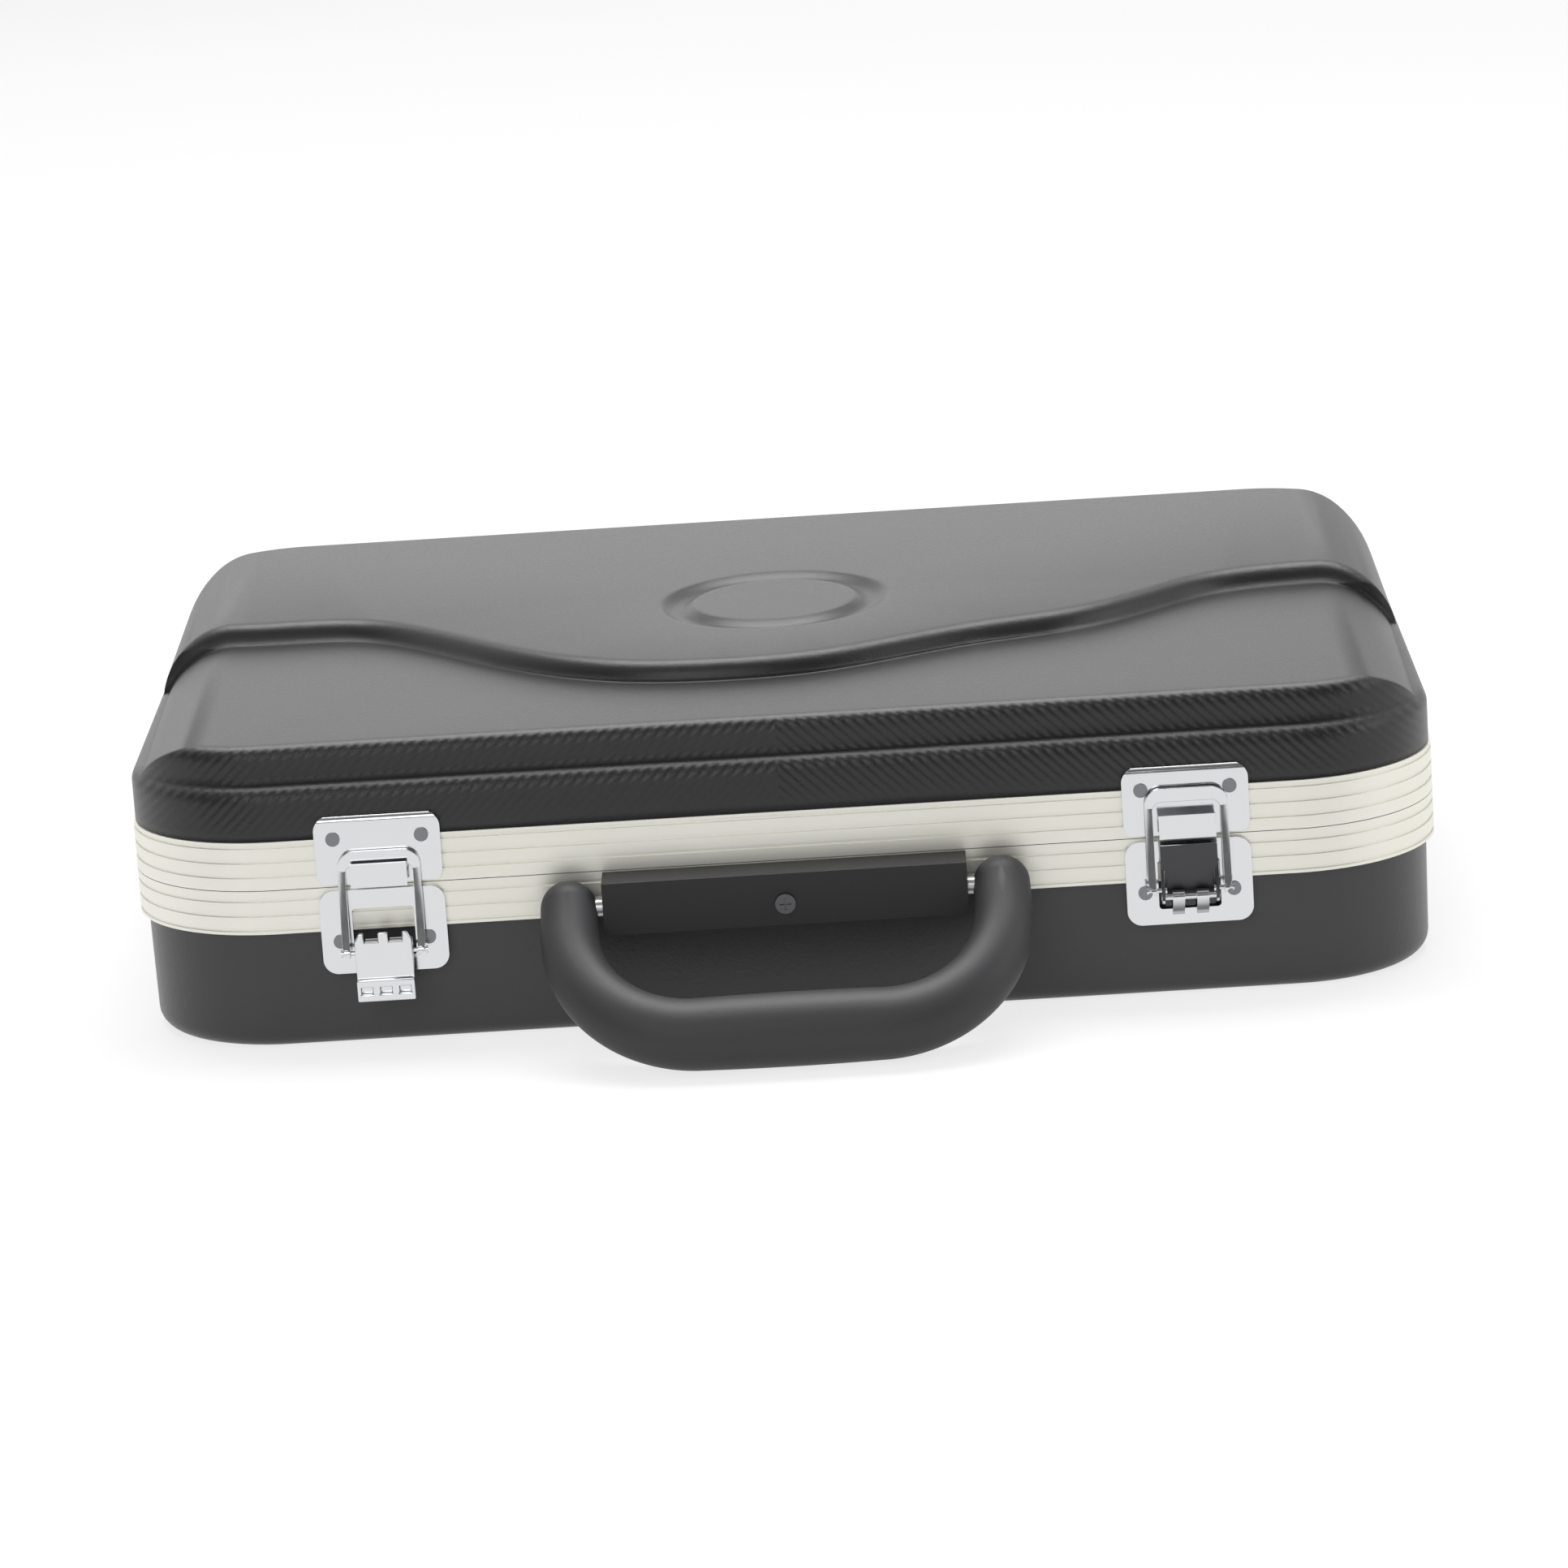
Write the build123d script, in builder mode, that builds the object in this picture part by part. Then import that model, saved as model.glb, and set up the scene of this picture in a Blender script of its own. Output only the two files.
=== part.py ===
from build123d import *
from math import cos, radians, sin, tan
import os

# Clarinet case, millimetres. +Z up, front (latch side) towards -Y, origin at the middle of the
# face that it rests on. u is the distance out from the front rim face, v the height above the
# joint line between tray and lid.

# Case
case_length = 350.0
case_depth = 216.7
case_corner = 40.0
joint_height = 44.4
joint_gap = 0.2
seat_gap = 0.2
soft_gap = 0.5

# Ribbed aluminium rim, one profile on the tray and one on the lid
rim_wall = 1.8
rim_lower_height = 12.0
rim_upper_height = 13.2
rim_web = 2.2
rim_web_reach = 6.6
rim_inner_leg = 5.0
rim_inner_wall = 1.0
rib_first = 1.3
rib_pitch = 4.0
rib_groove_width = 1.0
rib_groove_depth = 0.45
rib_groove_count = 3
tongue_width = 1.2
tongue_height = 0.9
tongue_clearance = 0.4
tongue_inset = 4.0

# Tray
shell_wall = 2.6
tray_inset = 2.0
tray_draft = 1.0
tray_bottom_radius = 5.0

# Lid: skirt in the rim, ledge above the rim, sloping top, raised rear panel behind the wave
lid_skirt_inset = 2.0
lid_ledge_inset = 0.6
lid_ledge_height = 72.0
lid_ledge_radius = 4.0
lid_front_inset = 5.5
lid_rear_inset = 2.0
lid_end_inset = 1.5
lid_corner = 36.0
lid_front_height = 81.8
lid_slope = 1.3
lid_rim_radius = 3.5
lid_end_radius = 22.0
lid_step = 5.0
lid_step_taper = 27.0
lid_panel_lap = 0.5
lid_crest_radius = 4.0
least_fillet = 1.0
wave_left = 12.0
wave_right = 6.5
wave_span = 350.0
wave_line = [(-146.0, 8.5), (-117.0, 6.1), (-98.3, -7.5), (-79.3, -28.0), (-38.4, -56.9), (-16.4, -60.4)]
wave_line += [(10.0, -58.1), (54.5, -38.0), (83.5, -28.0), (104.6, -12.5), (123.6, 2.0), (146.5, 6.8)]
medallion_radius = 31.8
medallion_y = 4.8
medallion_groove = 9.0
medallion_depth = 1.6

# Insert and lining
well_corner = 12.0
well_fillet = 9.0
lower_joint_length = 262.0
upper_joint_length = 232.0
joint_width = 40.0
joint_well_depth = 30.0
bell_length = 110.0
bell_width = 84.0
bell_well_depth = 37.0
mouthpiece_length = 96.0
barrel_length = 74.0
small_well_width = 37.0
accessory_length = 100.0
accessory_width = 84.0
accessory_depth = 28.0
well_land = 7.0
lining_side = 9.0
lining_top = 6.0
lining_corner = 10.0

# Hinges at the back
hinge_from_end = 80.0
hinge_width = 36.0
hinge_leaf_thickness = 1.0
hinge_leaf_height = 11.0
hinge_knuckle_radius = 2.2
hinge_pin_radius = 1.1
hinge_knuckle_count = 5
hinge_gap = 0.3
hinge_axis_out = 2.6

# Latches
latch_from_end = 68.4
plate_width = 33.4
plate_thickness = 1.2
plate_corner = 4.0
plate_half_gap = 0.8
strike_top = 19.4
base_bottom = 23.6
base_return = 1.6
base_return_wall = 1.0
pivot_out = 5.2
pivot_drop = 15.0
crank = 2.0
lever_open = 168.0
lever_pin_radius = 0.9
lever_width = 15.2
lever_sheet = 0.9
lever_face = 2.0
lever_top = 3.9
lever_reach = 14.2
lever_lip_height = 5.6
lever_lip_depth = 1.7
lever_notch = 1.4
lever_taper = 1.15
lever_slot_width = 3.2
lever_slot_height = 2.0
knuckle_radius = 1.7
knuckle_width = 3.2
knuckle_spacing = 6.4
knuckle_gap = 0.3
window_width = 16.4
window_top = 6.0
window_bottom = 19.4
bail_width = 22.0
bail_leg = 2.0
bail_thickness = 1.6
bail_bar = 3.6
bail_top = 10.0
bail_corner = 4.5
bail_eye_radius = 1.9
bail_clearance = 0.3
bail_pin_radius = 0.6
bail_pin_head = 0.95
bail_pin_head_height = 0.45
running_gap = 0.05
strike_pad_width = 15.0
strike_pad_wall = 0.9
strike_lip = 0.8
strike_trough = 1.75
latch_rivet_x = 11.7
rivet_grip = 3.4
latch_rivet_radius = 1.2
latch_rivet_head = 1.9
latch_rivet_head_height = 0.35
strike_rivet_v = 13.3
base_rivet_v = -14.7

# Handle
bracket_width = 96.0
bracket_top = 0.4
bracket_height = 14.0
bracket_depth = 12.3
bracket_nose_radius = 6.0
handle_gap = 1.5
handle_arm = 15.0
handle_grip = 19.5
handle_reach = 42.0
handle_corner = 33.0
handle_droop = 39.6
handle_pivot_out = 8.5
handle_pivot_drop = 7.6
handle_pin_radius = 2.4
handle_pin_in_bracket = 6.0
screw_radius = 1.6
screw_head_radius = 2.7
screw_head_height = 1.0
screw_drop = 8.4
screw_grip = 4.2
hinge_rivet_spacing = 12.0
hinge_rivet_drop = 7.0
hinge_rivet_head = 2.2
hinge_rivet_head_height = 0.8
base_rivet_grip = 4.4

# Worked out from the sizes above
latch_x = case_length / 2 - latch_from_end
hinge_x = case_length / 2 - hinge_from_end
handle_pivot_z = joint_height - handle_pivot_drop
screw_z = joint_height - screw_drop
wave_stretch = case_length / wave_span
front_y = -case_depth / 2
rear_y = case_depth / 2
hinge_y = rear_y + hinge_axis_out
lower_rim_top = joint_height - joint_gap / 2
upper_rim_bottom = joint_height + joint_gap / 2
upper_rim_top = joint_height + rim_upper_height
lower_rim_bottom = joint_height - rim_lower_height
tray_top = lower_rim_top - rim_web - seat_gap
lid_bottom = upper_rim_bottom + rim_web + seat_gap
crank_closed = (pivot_out, -pivot_drop - crank)
crank_open = (
    pivot_out + crank * sin(radians(lever_open)),
    -pivot_drop - crank * cos(radians(lever_open)),
)
sides = {"left": (-latch_x, 0.0, crank_closed), "right": (latch_x, lever_open, crank_open)}

os.makedirs("parts", exist_ok=True)


def save(shape, name):
    shape.label = name
    export_step(shape, f"parts/{name}.step")


def plan(inset, height=0.0):
    """Rounded rectangle of the case seen from above, inset from the rim face."""
    with BuildSketch(Plane.XY.offset(height)) as outline:
        RectangleRounded(case_length - 2 * inset, case_depth - 2 * inset, case_corner - inset)
    return outline.sketch


# ---------------------------------------------------------------- aluminium rim
end_run = case_depth - 2 * case_corner
long_run = case_length - 2 * case_corner
with BuildLine() as rim_path:
    run = Line((0, front_y), (long_run / 2, front_y))
    for length in (end_run, long_run, end_run, long_run / 2):
        bend = JernArc(start=run @ 1, tangent=run % 1, radius=case_corner, arc_size=90)
        run = PolarLine(start=bend @ 1, length=length, direction=bend % 1)


def rim_ring(height, away, ring_height, tongue_side):
    """One rim: outer wall, web along the joint, inner leg. away is +1 for the lid, -1 for the tray."""
    section = Plane(origin=(0, front_y, height), x_dir=(0, 1, 0), z_dir=(1, 0, 0))
    full = ring_height - joint_gap / 2
    leg_middle = rim_web_reach - rim_inner_wall / 2
    with BuildPart() as ring:
        with BuildSketch(section):
            with Locations((rim_wall / 2, away * full / 2)):
                Rectangle(rim_wall, full)
            with Locations((rim_web_reach / 2, away * rim_web / 2)):
                Rectangle(rim_web_reach, rim_web)
            with Locations((leg_middle, away * (rim_web + rim_inner_leg) / 2)):
                Rectangle(rim_inner_wall, rim_web + rim_inner_leg)
            for k in range(rib_groove_count):
                depth = full - rib_first - k * rib_pitch
                with Locations((0, away * depth)):
                    Rectangle(2 * rib_groove_depth, rib_groove_width, mode=Mode.SUBTRACT)
            if tongue_side:
                with Locations((tongue_inset, -away * tongue_height / 2)):
                    Rectangle(tongue_width, tongue_height)
            else:
                groove_width = tongue_width + 2 * tongue_clearance
                groove_depth = tongue_height + tongue_clearance
                with Locations((tongue_inset, away * groove_depth / 2)):
                    Rectangle(groove_width, groove_depth, mode=Mode.SUBTRACT)
        sweep(path=rim_path.line)
    return ring.part


def studs(points, radius, start, end):
    """Round studs along Y at the (x, z) points, from y = start to y = end."""
    face = Plane(origin=(0, start, 0), x_dir=(1, 0, 0), z_dir=(0, -1, 0))
    with BuildPart() as group:
        with BuildSketch(face):
            with Locations(*points):
                Circle(radius)
        extrude(amount=start - end)
    return group.part


plate_face = front_y - plate_thickness
pair = (-latch_rivet_x, latch_rivet_x)
strike_points = [(x + dx, joint_height + strike_rivet_v) for x in (-latch_x, latch_x) for dx in pair]
base_points = [(x + dx, joint_height + base_rivet_v) for x in (-latch_x, latch_x) for dx in pair]
row = (-hinge_rivet_spacing, 0, hinge_rivet_spacing)
hinge_columns = [x + dx for x in (-hinge_x, hinge_x) for dx in row]
lower_hinge_points = [(x, joint_height - hinge_rivet_drop) for x in hinge_columns]
upper_hinge_points = [(x, joint_height + hinge_rivet_drop) for x in hinge_columns]
hole_radius = latch_rivet_radius + running_gap
leaf_face = rear_y + hinge_leaf_thickness
strike_rivet_holes = studs(strike_points, hole_radius, plate_face - 1, front_y + rivet_grip)
base_rivet_holes = studs(base_points, hole_radius, plate_face - 1, front_y + base_rivet_grip)
lower_hinge_holes = studs(lower_hinge_points, hole_radius, rear_y - rivet_grip, leaf_face + 1)
upper_hinge_holes = studs(upper_hinge_points, hole_radius, rear_y - rivet_grip, leaf_face + 1)
bracket_face = front_y - bracket_depth
screw_hole = studs([(0, screw_z)], screw_radius + running_gap, bracket_face - 1, front_y + screw_grip)

with BuildPart() as lower_valance:
    add(rim_ring(lower_rim_top, -1, rim_lower_height, False))
    add(screw_hole, mode=Mode.SUBTRACT)
    add(lower_hinge_holes, mode=Mode.SUBTRACT)
save(lower_valance.part, "lower_valance")

with BuildPart() as upper_valance:
    add(rim_ring(upper_rim_bottom, 1, rim_upper_height, True))
    add(strike_rivet_holes, mode=Mode.SUBTRACT)
    add(upper_hinge_holes, mode=Mode.SUBTRACT)
save(upper_valance.part, "upper_valance")


# ---------------------------------------------------------------- tray
def tray_form(shrink, floor):
    """Outside of the tray, or with shrink the space inside it: drafted sides, rounded bottom edge."""
    with BuildPart() as form:
        with BuildSketch(Plane.XY.offset(tray_top)):
            add(plan(tray_inset + shrink))
        extrude(amount=-(tray_top - floor), taper=tray_draft)
        bottom = form.faces().sort_by(Axis.Z)[0]
        fillet(bottom.edges(), max(tray_bottom_radius - shrink, least_fillet))
    return form.part


with BuildPart() as bottom_shell:
    add(tray_form(0, 0))
    add(tray_form(shell_wall, shell_wall), mode=Mode.SUBTRACT)
    add(screw_hole, mode=Mode.SUBTRACT)
    add(base_rivet_holes, mode=Mode.SUBTRACT)
    add(lower_hinge_holes, mode=Mode.SUBTRACT)
save(bottom_shell.part, "bottom_shell")

# ---------------------------------------------------------------- lid
slope = radians(lid_slope)
top_middle = lid_front_height + (case_depth / 2 - lid_front_inset) * tan(slope)
lid_middle_y = (lid_front_inset - lid_rear_inset) / 2
lid_block_depth = lid_end_radius + lid_panel_lap
wave_low = min(y for x, y in wave_line)


def top_plane(rise):
    """Sloping plane of the lid's front panel, raised by rise."""
    return Plane(
        origin=(0, 0, top_middle + rise), x_dir=(1, 0, 0), z_dir=(0, -sin(slope), cos(slope))
    )


def panel_plan(shrink):
    """Outline of the lid's panels seen from above."""
    length = case_length - 2 * lid_end_inset
    width = case_depth - lid_front_inset - lid_rear_inset
    with BuildSketch() as outline:
        with Locations((0, lid_middle_y)):
            RectangleRounded(length - 2 * shrink, width - 2 * shrink, lid_corner - shrink)
    return outline.sketch


def lid_block(outline, rise, radius, depth):
    """Block under the sloping plane with its top edge rounded."""
    with BuildPart() as block:
        with BuildSketch(top_plane(rise)):
            add(outline)
        extrude(amount=-depth)
        top = block.faces().sort_by(Axis.Z)[-1]
        fillet(top.edges(), radius)
    return block.part


def lid_panel(shrink, rise):
    """Block of one panel whose ends roll down to the ledge."""
    across = Plane(
        origin=(0, 0, top_middle + rise), x_dir=(1, 0, 0), z_dir=(0, -cos(slope), -sin(slope))
    )
    with BuildPart() as panel:
        edge_radius = max(lid_rim_radius - shrink, least_fillet)
        add(lid_block(panel_plan(shrink), rise, edge_radius, lid_block_depth))
        with BuildSketch(across) as front_view:
            with Locations((0, -lid_block_depth / 2)):
                Rectangle(case_length - 2 * (lid_end_inset + shrink), lid_block_depth)
            fillet(front_view.vertices().group_by(Axis.Y)[-1], lid_end_radius - shrink)
        extrude(amount=case_depth, both=True, mode=Mode.INTERSECT)
    return panel.part


def wave_region(offset_y, height):
    """Area of the lid behind the wave line, seen from above."""
    half = case_length / 2
    stretched = [(x * wave_stretch, y) for x, y in wave_line]
    line = [(-half, wave_left), *stretched, (half, wave_right)]
    shifted = [(x, y + offset_y) for x, y in line]
    with BuildSketch(Plane.XY.offset(height)) as region:
        with BuildLine():
            Spline(shifted, tangents=[(1, 0), (1, 0)])
            Polyline(shifted[-1], (half, case_depth), (-half, case_depth), shifted[0])
        make_face()
    return region.sketch


def on_crest(edge):
    """True for the top edge of the step, which follows the wave and rolls down at both ends."""
    middle = edge @ 0.5
    rise = middle.Z - top_middle - middle.Y * tan(slope)
    return rise > lid_step / 3 and wave_low - lid_step < middle.Y < wave_left + lid_step / 2


def lid_blocks(shrink, wave_shift):
    """Skirt with ledge, front panel and rear panel. With shrink, the space inside each."""
    step_foot = lid_front_height + (case_depth / 2 + wave_low / 2) * tan(slope) - shrink
    step_rise = 3 * lid_step
    lean = step_rise * tan(radians(lid_step_taper))
    with BuildPart() as skirt:
        add(plan(lid_skirt_inset + shrink, lid_bottom))
        extrude(amount=upper_rim_top + seat_gap - lid_bottom)
        add(plan(lid_ledge_inset + shrink, upper_rim_top + seat_gap))
        extrude(amount=lid_ledge_height - shrink - upper_rim_top - seat_gap)
        ledge = skirt.faces().sort_by(Axis.Z)[-1]
        fillet(ledge.edges(), max(lid_ledge_radius - shrink, least_fillet))
    with BuildPart() as behind:
        add(wave_region(wave_shift, lid_bottom))
        extrude(amount=step_foot - lid_bottom)
        add(wave_region(wave_shift, step_foot))
        add(wave_region(wave_shift + lean, step_foot + step_rise))
        loft(ruled=True)
    with BuildPart() as front:
        add(lid_panel(shrink, -shrink))
        add(wave_region(wave_shift, lid_bottom))
        extrude(amount=top_middle, mode=Mode.SUBTRACT)
    with BuildPart() as rear:
        add(lid_panel(shrink, lid_step - shrink))
        add(behind.part, mode=Mode.INTERSECT)
        if not shrink:
            fillet(rear.edges().filter_by(on_crest), lid_crest_radius)
    return skirt.part, front.part, rear.part


groove_half = medallion_groove / 2
groove_round = (groove_half**2 + medallion_depth**2) / (2 * medallion_depth)
groove_middle = top_plane(lid_step + groove_round - medallion_depth).location
with BuildPart() as medallion_ring:
    with Locations(groove_middle * Location((0, medallion_y, 0))):
        Torus(medallion_radius - groove_half, groove_round)

with BuildPart() as lid_shell:
    for block in lid_blocks(0, 0):
        add(block)
    for hollow in lid_blocks(shell_wall, shell_wall):
        add(hollow, mode=Mode.SUBTRACT)
    add(medallion_ring.part, mode=Mode.SUBTRACT)
    add(strike_rivet_holes, mode=Mode.SUBTRACT)
    add(upper_hinge_holes, mode=Mode.SUBTRACT)
save(lid_shell.part, "lid_shell")


# ---------------------------------------------------------------- rivets and handle screw
def rivets(points, face, grip, away, head_radius, head_height):
    """Rivets through one face. away is -1 at the front of the case and +1 at the back."""
    with BuildPart() as group:
        add(studs(points, latch_rivet_radius, *sorted((face, grip))))
        add(studs(points, head_radius, *sorted((face, face + away * head_height))))
    return group.part


head = (latch_rivet_head, latch_rivet_head_height)
hinge_head = (hinge_rivet_head, hinge_rivet_head_height)
save(rivets(strike_points, plate_face, front_y + rivet_grip, -1, *head), "strike_rivets")
save(rivets(base_points, plate_face, front_y + base_rivet_grip, -1, *head), "latch_base_rivets")
save(rivets(lower_hinge_points, leaf_face, rear_y - rivet_grip, 1, *hinge_head), "hinge_lower_rivets")
save(rivets(upper_hinge_points, leaf_face, rear_y - rivet_grip, 1, *hinge_head), "hinge_upper_rivets")

with BuildPart() as handle_screw:
    add(studs([(0, screw_z)], screw_radius, bracket_face, front_y + screw_grip))
    add(studs([(0, screw_z)], screw_head_radius, bracket_face - screw_head_height, bracket_face))
    with BuildSketch(Plane.XZ.offset(-bracket_face + screw_head_height)):
        with Locations((0, screw_z)):
            Rectangle(2 * screw_radius, 0.5)
            Rectangle(0.5, 2 * screw_radius)
    extrude(amount=-screw_head_height / 2, mode=Mode.SUBTRACT)
save(handle_screw.part, "handle_screw")

# ---------------------------------------------------------------- insert in the tray
liner_inset = rim_web_reach + soft_gap
half_inside = case_length / 2 - liner_inset
front_edge = front_y + liner_inset + well_land
second_edge = front_edge + joint_width + well_land
back_edge = second_edge + joint_width + well_land
back_middle = (back_edge + rear_y - liner_inset - well_land) / 2
left_edge = -half_inside + well_land
bell_middle = left_edge + bell_length / 2
small_left = left_edge + bell_length + well_land
accessory_middle = half_inside - well_land - accessory_length / 2
small_y = (small_well_width + well_land) / 2
wells = [
    (0, front_edge + joint_width / 2, lower_joint_length, joint_width, joint_well_depth),
    (0, second_edge + joint_width / 2, upper_joint_length, joint_width, joint_well_depth),
    (bell_middle, back_middle, bell_length, bell_width, bell_well_depth),
    (
        small_left + mouthpiece_length / 2,
        back_middle - small_y,
        mouthpiece_length,
        small_well_width,
        joint_well_depth,
    ),
    (
        small_left + barrel_length / 2,
        back_middle + small_y,
        barrel_length,
        small_well_width,
        joint_well_depth,
    ),
    (accessory_middle, back_middle, accessory_length, accessory_width, accessory_depth),
]


def well_block(x, y, length, width, depth):
    """Space of one well, with a rounded bottom edge."""
    with BuildPart() as well:
        with BuildSketch(Plane.XY.offset(tray_top - depth)):
            with Locations((x, y)):
                RectangleRounded(length, width, well_corner)
        extrude(amount=2 * depth)
        fillet(well.faces().sort_by(Axis.Z)[0].edges(), well_fillet)
    return well.part


with BuildPart() as bottom_insert:
    add(tray_form(liner_inset - tray_inset, shell_wall + soft_gap))
    for well_sizes in wells:
        add(well_block(*well_sizes), mode=Mode.SUBTRACT)
save(bottom_insert.part, "bottom_insert")

# ---------------------------------------------------------------- padding in the lid
lining_shrink = shell_wall + soft_gap
leg_top = upper_rim_bottom + rim_web + rim_inner_leg + soft_gap
recess_rise = -(lining_shrink + lining_top)
with BuildPart() as lid_lining:
    for block in lid_blocks(lining_shrink, shell_wall):
        add(block)
    with BuildSketch(Plane.XY.offset(lid_bottom - 1)):
        add(plan(0))
        add(plan(liner_inset), mode=Mode.SUBTRACT)
    extrude(amount=leg_top - lid_bottom + 1, mode=Mode.SUBTRACT)
    recess_plan = plan(liner_inset + lining_side)
    add(lid_block(recess_plan, recess_rise, lining_corner, top_middle), mode=Mode.SUBTRACT)
save(lid_lining.part, "lid_lining")

# ---------------------------------------------------------------- hinges
knuckle_length = (hinge_width - (hinge_knuckle_count - 1) * hinge_gap) / hinge_knuckle_count
hinge_side = Plane(origin=(0, hinge_y, joint_height), x_dir=(0, 1, 0), z_dir=(1, 0, 0))


def hinge_leaf(x, away):
    """Leaf on the rear rim face. away is +1 for the lid's leaf, -1 for the tray's."""
    start = hinge_knuckle_radius + hinge_gap
    first = 0 if away < 0 else 1
    middle = -hinge_axis_out + hinge_leaf_thickness / 2
    with BuildPart() as leaf:
        with BuildSketch(hinge_side.offset(x)):
            with Locations((middle, away * (start + hinge_leaf_height) / 2)):
                Rectangle(hinge_leaf_thickness, hinge_leaf_height - start)
        extrude(amount=hinge_width / 2, both=True)
        for k in range(first, hinge_knuckle_count, 2):
            knuckle_x = x - hinge_width / 2 + knuckle_length / 2 + k * (knuckle_length + hinge_gap)
            with BuildSketch(hinge_side.offset(knuckle_x)):
                Circle(hinge_knuckle_radius)
                with Locations((middle, away * start / 2)):
                    Rectangle(hinge_leaf_thickness, start)
            extrude(amount=knuckle_length / 2, both=True)
        with BuildSketch(hinge_side.offset(x)):
            Circle(hinge_pin_radius + running_gap)
        extrude(amount=hinge_width, both=True, mode=Mode.SUBTRACT)
        add(lower_hinge_holes, mode=Mode.SUBTRACT)
        add(upper_hinge_holes, mode=Mode.SUBTRACT)
    return leaf.part


for side, x in (("left", -hinge_x), ("right", hinge_x)):
    save(hinge_leaf(x, -1), f"{side}_hinge_lower_leaf")
    save(hinge_leaf(x, 1), f"{side}_hinge_upper_leaf")
    with BuildPart() as hinge_pin:
        with BuildSketch(hinge_side.offset(x)):
            Circle(hinge_pin_radius)
        extrude(amount=hinge_width / 2, both=True)
    save(hinge_pin.part, f"{side}_hinge_pin")


# ---------------------------------------------------------------- latches
def side_plane(x, out, rise, turn):
    """Side view of a latch: u to the right, v up, turned from the closed pose about (out, rise)."""
    angle = radians(turn)
    origin = (x, front_y - out, joint_height + rise)
    return Plane(origin=origin, x_dir=(0, -cos(angle), sin(angle)), z_dir=(-1, 0, 0))


def face_plane(x, out, rise, turn):
    """Front view of a latch: x to the right, v up, looking along the face."""
    angle = radians(turn)
    origin = (x, front_y - out, joint_height + rise)
    return Plane(origin=origin, x_dir=(1, 0, 0), z_dir=(0, -cos(angle), sin(angle)))


bar_bottom = bail_top - bail_bar
bar_out = plate_thickness + bail_clearance + bail_thickness / 2
web_top = bar_bottom - bail_clearance
lip_inside = bar_out + bail_thickness / 2 + strike_trough
strike_bend = plate_thickness + lid_ledge_inset - running_gap


def strike_plate(x):
    with BuildPart() as plate:
        with BuildSketch(side_plane(x, 0, 0, 0)):
            with BuildLine():
                bend_v = strike_top - strike_bend
                Polyline((0, bend_v), (0, plate_half_gap), (plate_thickness, plate_half_gap))
                Line((plate_thickness, plate_half_gap), (plate_thickness, bend_v))
                outside = RadiusArc(
                    (plate_thickness, bend_v), (plate_thickness - strike_bend, strike_top), -strike_bend
                )
                inner_end = (plate_thickness - strike_bend, strike_top - plate_thickness)
                Line(outside @ 1, inner_end)
                RadiusArc(inner_end, (0, bend_v), strike_bend - plate_thickness)
            make_face()
        extrude(amount=plate_width / 2, both=True)
        with BuildSketch(face_plane(x, 0, 0, 0)) as outline:
            with Locations((0, strike_top / 2)):
                Rectangle(plate_width, strike_top)
            fillet(outline.vertices().group_by(Axis.Z)[-1], plate_corner)
        extrude(amount=2 * strike_bend, both=True, mode=Mode.INTERSECT)
        with BuildSketch(side_plane(x, 0, 0, 0)):
            face_middle = lip_inside + strike_pad_wall / 2
            with Locations((face_middle, (plate_half_gap + bar_bottom + strike_lip) / 2)):
                Rectangle(strike_pad_wall, bar_bottom + strike_lip - plate_half_gap)
            with Locations(((plate_thickness + lip_inside) / 2, web_top - strike_pad_wall / 2)):
                Rectangle(lip_inside - plate_thickness + 0.2, strike_pad_wall)
        extrude(amount=strike_pad_width / 2, both=True)
        add(strike_rivet_holes, mode=Mode.SUBTRACT)
    return plate.part


def latch_base(x):
    with BuildPart() as base:
        with BuildSketch(face_plane(x, 0, 0, 0)) as outline:
            with Locations((0, -(plate_half_gap + base_bottom) / 2)):
                Rectangle(plate_width, base_bottom - plate_half_gap)
            fillet(outline.vertices().group_by(Axis.Z)[0], plate_corner)
        extrude(amount=plate_thickness)
        with BuildSketch(face_plane(x, 0, 0, 0)) as skirt:
            add(outline.sketch_local)
            offset(amount=-base_return_wall, mode=Mode.SUBTRACT)
            with Locations((0, 0)):
                Rectangle(plate_width, 2 * (rim_lower_height + soft_gap), mode=Mode.SUBTRACT)
        extrude(amount=-base_return)
        with BuildSketch(face_plane(x, 0, -(window_top + window_bottom) / 2, 0)):
            RectangleRounded(window_width, window_bottom - window_top, 1.0)
        extrude(amount=plate_thickness, mode=Mode.SUBTRACT)
        for offset_x in (-knuckle_spacing / 2, knuckle_spacing / 2):
            with BuildSketch(side_plane(x + offset_x, pivot_out, -pivot_drop, 0)):
                Circle(knuckle_radius)
                with BuildLine():
                    foot = -pivot_out + plate_thickness / 2
                    Polyline(
                        (foot, pivot_drop - window_bottom),
                        (foot, pivot_drop - window_bottom - 2.2),
                        (0.65 * knuckle_radius, -0.76 * knuckle_radius),
                        (-0.7 * knuckle_radius, -0.7 * knuckle_radius),
                        close=True,
                    )
                make_face()
            extrude(amount=knuckle_width / 2, both=True)
        with BuildSketch(side_plane(x, pivot_out, -pivot_drop, 0)):
            Circle(lever_pin_radius + running_gap)
        extrude(amount=plate_width / 3, both=True, mode=Mode.SUBTRACT)
        add(base_rivet_holes, mode=Mode.SUBTRACT)
    return base.part


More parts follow.
